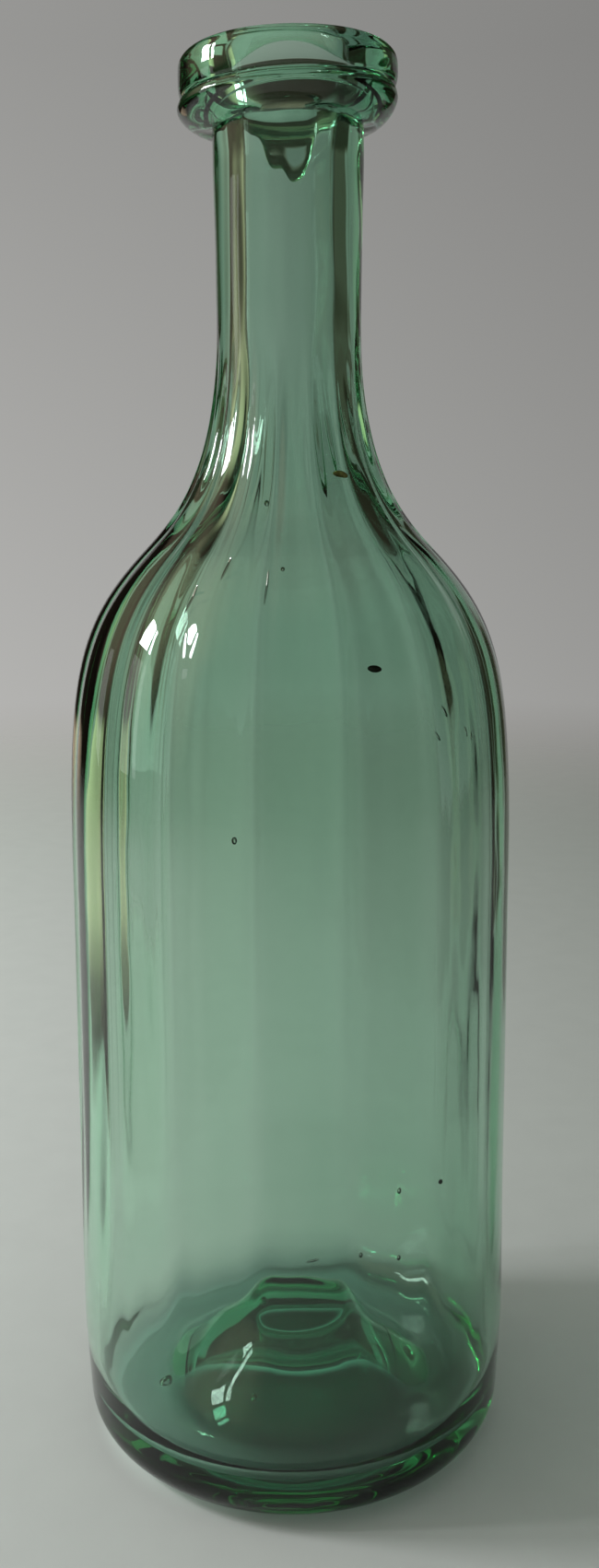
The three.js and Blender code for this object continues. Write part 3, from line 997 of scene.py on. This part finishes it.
def set_world(studio):
    """The room by direction. Behind the bottle hangs a pale backdrop, brighter at the left and low
    down, and it is all that the camera sees. The glass shows it in a few zones behind the bottle,
    and low down from the other sides. Elsewhere it shows a dim warm room, with a glow round the
    window, a paler ceiling and a golden patch behind at the left. The paper gets a greenish fill
    of light besides."""
    world = bpy.data.worlds.new("room")
    bpy.context.scene.world = world
    world.use_nodes = True
    tree = world.node_tree
    direction = tree.nodes.new("ShaderNodeTexCoord").outputs["Generated"]
    ray = tree.nodes.new("ShaderNodeLightPath").outputs
    across = along(tree, direction, (1, 0, 0))
    backwards = along(tree, direction, (0, 1, 0))
    upwards = along(tree, direction, (0, 0, 1))
    heading = math_of(tree, "ARCTAN2", across, backwards)
    side_tone, height_tone = ramp(tree, across, *TONE_ACROSS), ramp(tree, upwards, *TONE_UPWARDS)
    backdrop = math_of(tree, "MULTIPLY", side_tone, height_tone)

    glow = ramp(tree, along(tree, direction, GLOW_AXIS), *TONE_GLOW, SMOOTH)
    ceiling = ramp(tree, upwards, *TONE_CEILING, SMOOTH)
    start, end = (math.radians(h) for h in PALING)
    paling = ramp(tree, heading, start, end, PALE_GOLD * studio.gold, studio.gold)
    gold = math_of(tree, "MULTIPLY", patch(tree, heading, upwards, *GOLD_ZONE), paling)
    dim_room = folded(tree, "ADD", glow, ceiling, gold)

    zones = [patch(tree, heading, upwards, *zone) for zone in BACKDROP_ZONES]
    beside_neck = math_of(tree, "MULTIPLY", patch(tree, heading, upwards, *NECK_ZONE), NECK_SHARE)
    start, end = (math.radians(h) for h in BEHIND)
    turned_away = math_of(tree, "ABSOLUTE", heading)
    behind = ramp(tree, turned_away, start, end, 0, studio.behind, SMOOTH)
    low_down = ramp(tree, upwards, *LOW_DOWN)
    from_behind = folded(tree, "MULTIPLY", behind, low_down, ray["Is Transmission Ray"])
    seen = folded(tree, "MAXIMUM", *zones, beside_neck, from_behind, ray["Is Camera Ray"])

    tones = {0: seen, 2: dim_room, 3: backdrop}
    strength = node_of(tree, "ShaderNodeMix", tones, data_type="FLOAT").outputs[0]
    fill = math_of(tree, "MULTIPLY", ray["Is Diffuse Ray"], studio.paper_fill)
    hue = mixed(tree, seen, ROOM_HUE, BACKDROP_HUE)
    feed(tree, tree.nodes["Background"], {
        "Strength": math_of(tree, "ADD", strength, fill),
        "Color": mixed(tree, ray["Is Diffuse Ray"], hue, FILL_HUE),
    })


def set_camera(studio):
    """The camera looks along +Y and down; its picture leans by the roll."""
    camera = bpy.data.cameras.new("camera")
    camera.sensor_fit = "VERTICAL"
    camera.sensor_height = 36
    camera.lens = camera.sensor_height / 2 / math.tan(studio.view_height / 2)
    ob = bpy.data.objects.new("camera", camera)
    place = Matrix.Translation((studio.eye_side, -studio.eye_distance, studio.eye_height))
    tip = Matrix.Rotation(math.pi / 2 - studio.pitch, 4, "X")
    ob.matrix_world = place @ tip @ Matrix.Rotation(-studio.roll, 4, "Z")
    bpy.context.scene.collection.objects.link(ob)
    bpy.context.scene.camera = ob


STEPS = (
    SCENE_OT_bottle_stage,
    MESH_OT_bottle_blown_body,
    MESH_OT_bottle_string_ring,
    MESH_OT_bottle_lip_band,
    MESH_OT_bottle_seeds,
    MESH_OT_bottle_stones,
)
FORMS = {
    "body_form": BodyForm,
    "collar_form": CollarForm,
    "glass_finish": GlassFinish,
    "studio": Studio,
}


class VIEW3D_PT_bottle(bpy.types.Panel):
    """Sizes and steps of the bottle"""

    bl_label = "Ribbed Bar Bottle"
    bl_space_type = "VIEW_3D"
    bl_region_type = "UI"
    bl_category = "Bottle"

    def draw(self, context):
        for form in FORMS:
            group = getattr(context.scene, form)
            box = self.layout.box()
            for name in group.__annotations__:
                box.prop(group, name)
        for step in STEPS:
            self.layout.operator(step.bl_idname)


CLASSES = (*FORMS.values(), *STEPS, VIEW3D_PT_bottle)


def register():
    """Adds the classes and puts the forms on the scene."""
    for cls in CLASSES:
        bpy.utils.register_class(cls)
    for name, form in FORMS.items():
        setattr(bpy.types.Scene, name, bpy.props.PointerProperty(type=form))


def unregister():
    """Takes them away again."""
    for name in FORMS:
        delattr(bpy.types.Scene, name)
    for cls in reversed(CLASSES):
        bpy.utils.unregister_class(cls)


def main():
    """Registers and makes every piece."""
    register()
    bpy.ops.scene.bottle_stage()
    bpy.ops.mesh.bottle_blown_body()
    bpy.ops.mesh.bottle_string_ring()
    bpy.ops.mesh.bottle_lip_band()
    bpy.ops.mesh.bottle_seeds()
    bpy.ops.mesh.bottle_stones()


if __name__ == "__main__":
    main()
